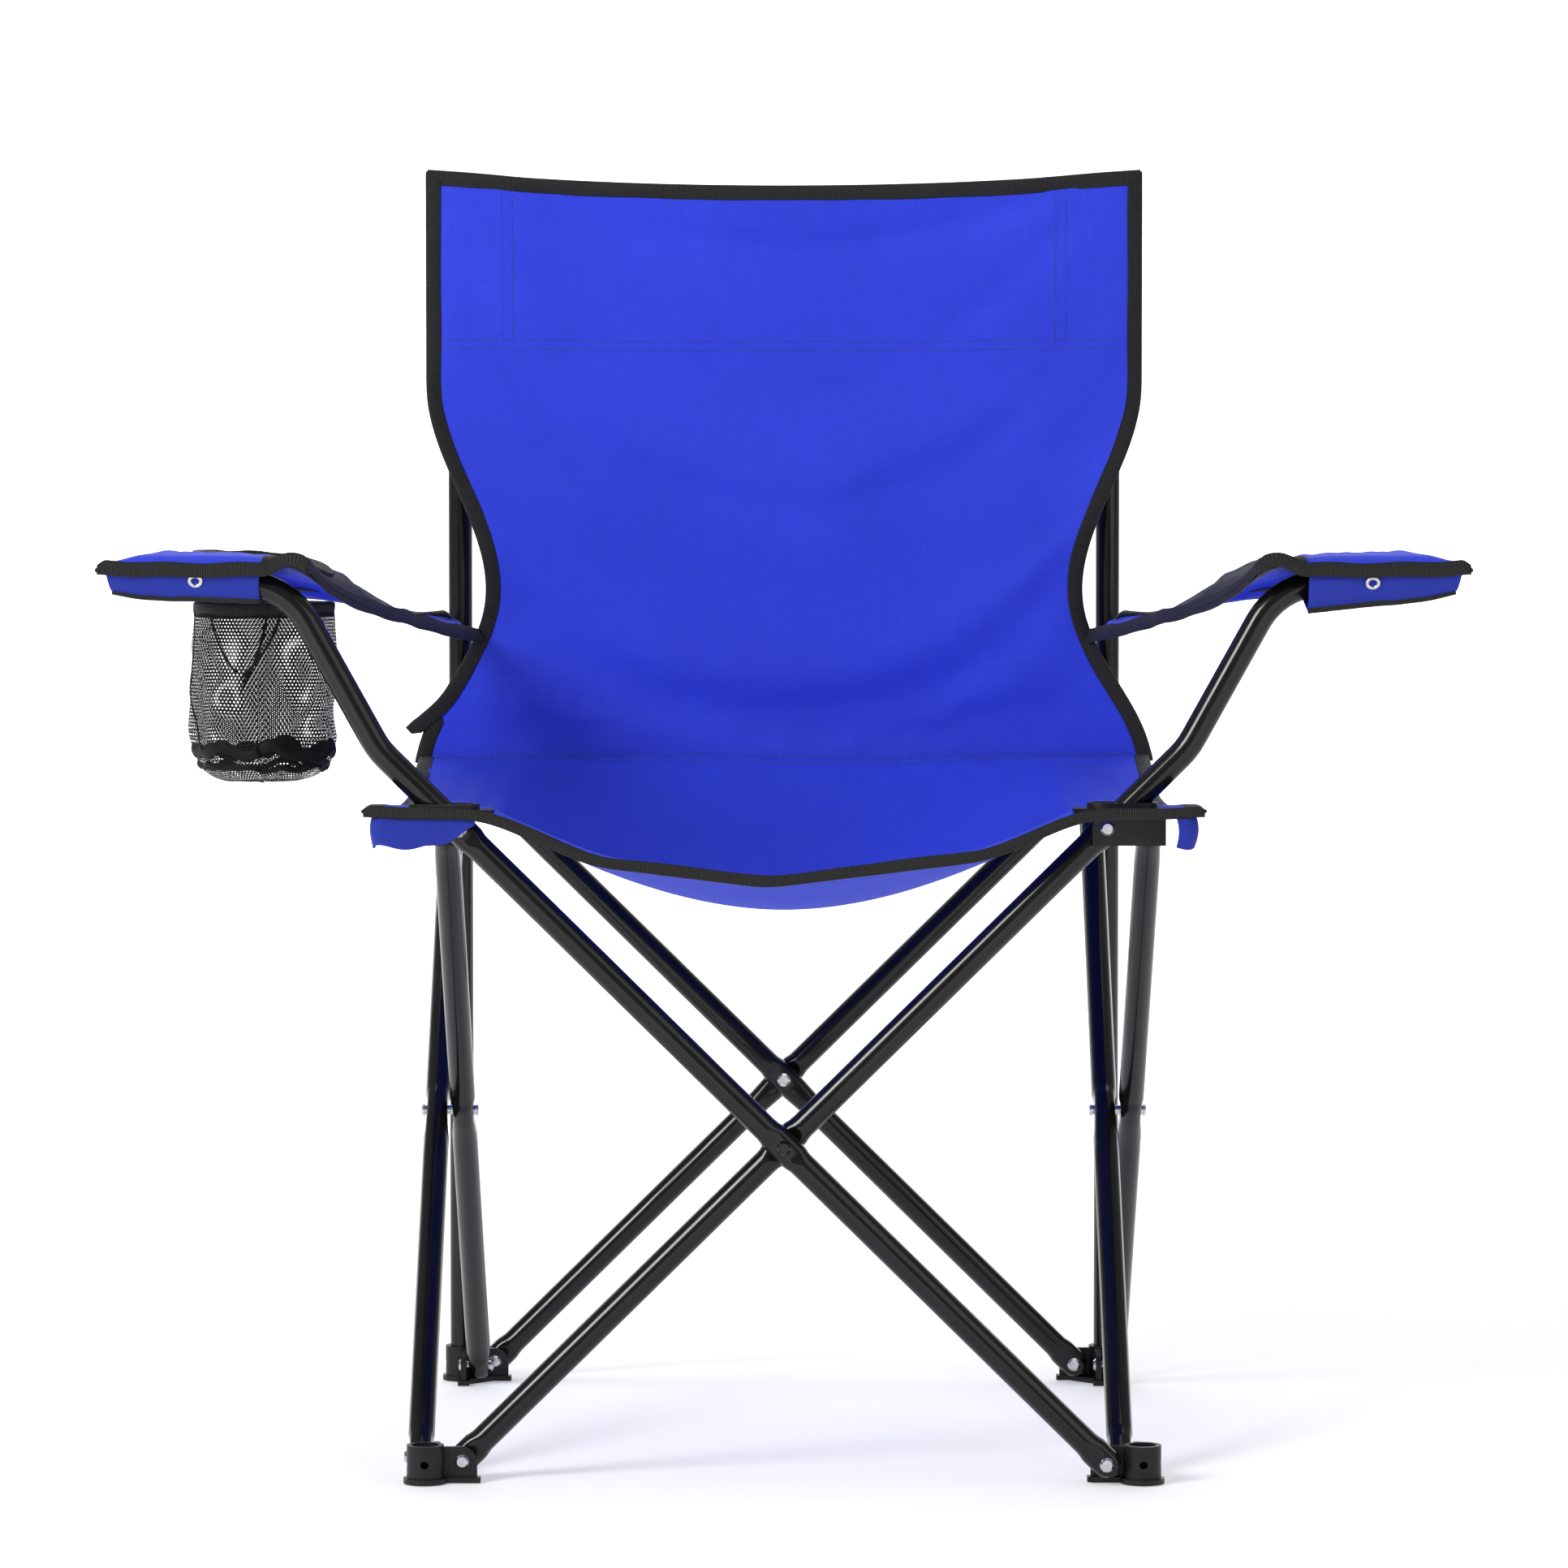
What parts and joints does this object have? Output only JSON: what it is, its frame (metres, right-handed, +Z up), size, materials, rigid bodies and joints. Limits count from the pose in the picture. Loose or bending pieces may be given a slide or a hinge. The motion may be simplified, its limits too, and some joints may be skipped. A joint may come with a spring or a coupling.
{
  "type": "folding camp chair",
  "caption": "Folding camp chair: scissor frame of black steel tube, sling seat and back in blue fabric, padded arms and a net cup holder.",
  "frame": {"origin": "On the floor, under the middle of the chair's outer box.", "axes": "+X runs across the chair, from the sitter's right arm to the left one; the sitter faces -Y; +Z is up."},
  "size_m": [0.818, 0.4639, 0.806],
  "materials": {
    "tube": "gloss black powder coat",
    "moulding": "moulded matt black polypropylene",
    "rivet": "bright plated steel",
    "cloth": "royal blue plain-weave polyester",
    "net": "black knitted net and webbing"
  },
  "bodies": {
    "rear_left_post": {"foot_rear_left": "moulding", "foot_rivets_rear_left": "rivet", "post_left": "tube", "post_cap_left": "moulding", "post_rivet_left": "rivet", "post_pocket_left": "cloth", "back_panel": "cloth"},
    "rear_outer_tube": {"tube_rear_outer": "tube", "cross_rivet_rear": "rivet"},
    "rear_inner_tube": {"tube_rear_inner": "tube"},
    "rear_right_post": {"foot_rear_right": "moulding", "foot_rivets_rear_right": "rivet", "post_right": "tube", "post_cap_right": "moulding", "post_rivet_right": "rivet", "post_pocket_right": "cloth"},
    "rear_left_hub": {"hub_rear_left": "moulding", "hub_rivets_rear_left": "rivet"},
    "rear_right_hub": {"hub_rear_right": "moulding", "hub_rivets_rear_right": "rivet"},
    "left_inner_tube": {"tube_left_inner": "tube"},
    "left_outer_tube": {"tube_left_outer": "tube", "cross_rivet_left": "rivet"},
    "front_left_foot": {"foot_front_left": "moulding", "foot_rivets_front_left": "rivet"},
    "right_outer_tube": {"tube_right_outer": "tube", "cross_rivet_right": "rivet"},
    "right_inner_tube": {"tube_right_inner": "tube"},
    "right_arm_tube": {"tube_front_to_right_arm": "tube", "arm_plug_right": "moulding", "arm_rivet_right": "rivet", "arm_top_right": "cloth", "arm_under_right": "cloth"},
    "left_arm_tube": {"tube_front_to_left_arm": "tube", "cross_rivet_front": "rivet", "arm_plug_left": "moulding", "arm_rivet_left": "rivet", "arm_top_left": "cloth", "arm_under_left": "cloth", "cup_holder_net": "net", "cup_holder_rim": "net", "cup_holder_base": "net"},
    "front_right_foot": {"foot_front_right": "moulding", "foot_rivets_front_right": "rivet"},
    "front_left_hub": {"hub_front_left": "moulding", "hub_rivets_front_left": "rivet", "seat_plate_left": "moulding"},
    "front_right_hub": {"hub_front_right": "moulding", "hub_rivets_front_right": "rivet", "seat_plate_right": "moulding"},
    "seat_rear": {"seat_rear_half": "cloth"},
    "seat_front": {"seat_front_half": "cloth"}
  },
  "joints": [
    {"name": "fold", "type": "hinge", "parent": "rear_left_post", "child": "rear_outer_tube", "pos_m": [-0.1935, 0.2226, 0.0125], "axis": [0, -1, 0], "range_deg": [0, 40], "deforming": ["seat_front_half", "seat_rear_half", "back_panel", "post_pocket_left", "post_pocket_right", "arm_top_left", "arm_top_right", "arm_under_left", "arm_under_right", "cup_holder_net", "cup_holder_rim", "cup_holder_base"]},
    {"name": "rear_crossing", "type": "hinge", "parent": "rear_outer_tube", "child": "rear_inner_tube", "pos_m": [0, 0.2226, 0.203], "axis": [0, 1, 0], "range_deg": [0, 80]},
    {"name": "rear_right_foot_pivot", "type": "hinge", "parent": "rear_inner_tube", "child": "rear_right_post", "pos_m": [0.1935, 0.2062, 0.0125], "axis": [0, -1, 0], "range_deg": [0, 40]},
    {"name": "rear_left_hub_pivot", "type": "hinge", "parent": "rear_inner_tube", "child": "rear_left_hub", "pos_m": [-0.1935, 0.2062, 0.3935], "axis": [0, -1, 0], "range_deg": [0, 40]},
    {"name": "rear_right_hub_pivot", "type": "hinge", "parent": "rear_outer_tube", "child": "rear_right_hub", "pos_m": [0.1935, 0.2226, 0.3935], "axis": [0, 1, 0], "range_deg": [0, 40]},
    {"name": "left_inner_foot_pivot", "type": "hinge", "parent": "rear_left_post", "child": "left_inner_tube", "pos_m": [-0.2033, 0.1964, 0.0125], "axis": [-1, 0, 0], "range_deg": [0, 40]},
    {"name": "left_crossing", "type": "hinge", "parent": "left_inner_tube", "child": "left_outer_tube", "pos_m": [-0.2033, 0.0029, 0.203], "axis": [1, 0, 0], "range_deg": [0, 80]},
    {"name": "front_left_foot_pivot", "type": "hinge", "parent": "left_outer_tube", "child": "front_left_foot", "pos_m": [-0.2197, -0.1906, 0.0125], "axis": [-1, 0, 0], "range_deg": [0, 40]},
    {"name": "front_inner_foot_pivot", "type": "hinge", "parent": "front_left_foot", "child": "right_arm_tube", "pos_m": [-0.1935, -0.2004, 0.0125], "axis": [0, -1, 0], "range_deg": [0, 40]},
    {"name": "front_crossing", "type": "hinge", "parent": "right_arm_tube", "child": "left_arm_tube", "pos_m": [0, -0.2004, 0.203], "axis": [0, 1, 0], "range_deg": [0, 80]},
    {"name": "front_right_foot_pivot", "type": "hinge", "parent": "left_arm_tube", "child": "front_right_foot", "pos_m": [0.1935, -0.2168, 0.0125], "axis": [0, -1, 0], "range_deg": [0, 40]},
    {"name": "front_left_hub_pivot", "type": "hinge", "parent": "left_arm_tube", "child": "front_left_hub", "pos_m": [-0.1935, -0.2168, 0.3935], "axis": [0, -1, 0], "range_deg": [0, 40]},
    {"name": "front_right_hub_pivot", "type": "hinge", "parent": "right_arm_tube", "child": "front_right_hub", "pos_m": [0.1935, -0.2004, 0.3935], "axis": [0, 1, 0], "range_deg": [0, 40]},
    {"name": "right_outer_foot_pivot", "type": "hinge", "parent": "rear_right_post", "child": "right_outer_tube", "pos_m": [0.2197, 0.1964, 0.0125], "axis": [-1, 0, 0], "range_deg": [0, 40]},
    {"name": "right_crossing", "type": "hinge", "parent": "right_outer_tube", "child": "right_inner_tube", "pos_m": [0.2197, 0.0029, 0.203], "axis": [1, 0, 0], "range_deg": [0, 80]},
    {"name": "seat_rear_fold", "type": "hinge", "parent": "rear_left_hub", "child": "seat_rear", "pos_m": [-0.2155, 0.1914, 0.418], "axis": [1, 0, 0], "range_deg": [0, 80]},
    {"name": "seat_front_fold", "type": "hinge", "parent": "front_left_hub", "child": "seat_front", "pos_m": [-0.2155, -0.2026, 0.4075], "axis": [-1, 0, 0], "range_deg": [0, 80]}
  ],
  "couplings": [
    {"joint": "rear_crossing", "follows": "fold", "ratio": 2},
    {"joint": "rear_right_foot_pivot", "follows": "fold", "ratio": 1},
    {"joint": "rear_left_hub_pivot", "follows": "fold", "ratio": 1},
    {"joint": "rear_right_hub_pivot", "follows": "fold", "ratio": 1},
    {"joint": "left_inner_foot_pivot", "follows": "fold", "ratio": 1},
    {"joint": "left_crossing", "follows": "fold", "ratio": 2},
    {"joint": "front_left_foot_pivot", "follows": "fold", "ratio": 1},
    {"joint": "front_inner_foot_pivot", "follows": "fold", "ratio": 1},
    {"joint": "front_crossing", "follows": "fold", "ratio": 2},
    {"joint": "front_right_foot_pivot", "follows": "fold", "ratio": 1},
    {"joint": "front_left_hub_pivot", "follows": "fold", "ratio": 1},
    {"joint": "front_right_hub_pivot", "follows": "fold", "ratio": 1},
    {"joint": "right_outer_foot_pivot", "follows": "fold", "ratio": 1},
    {"joint": "right_crossing", "follows": "fold", "ratio": 2},
    {"joint": "seat_rear_fold", "follows": "fold", "ratio": 2},
    {"joint": "seat_front_fold", "follows": "fold", "ratio": 2}
  ]
}
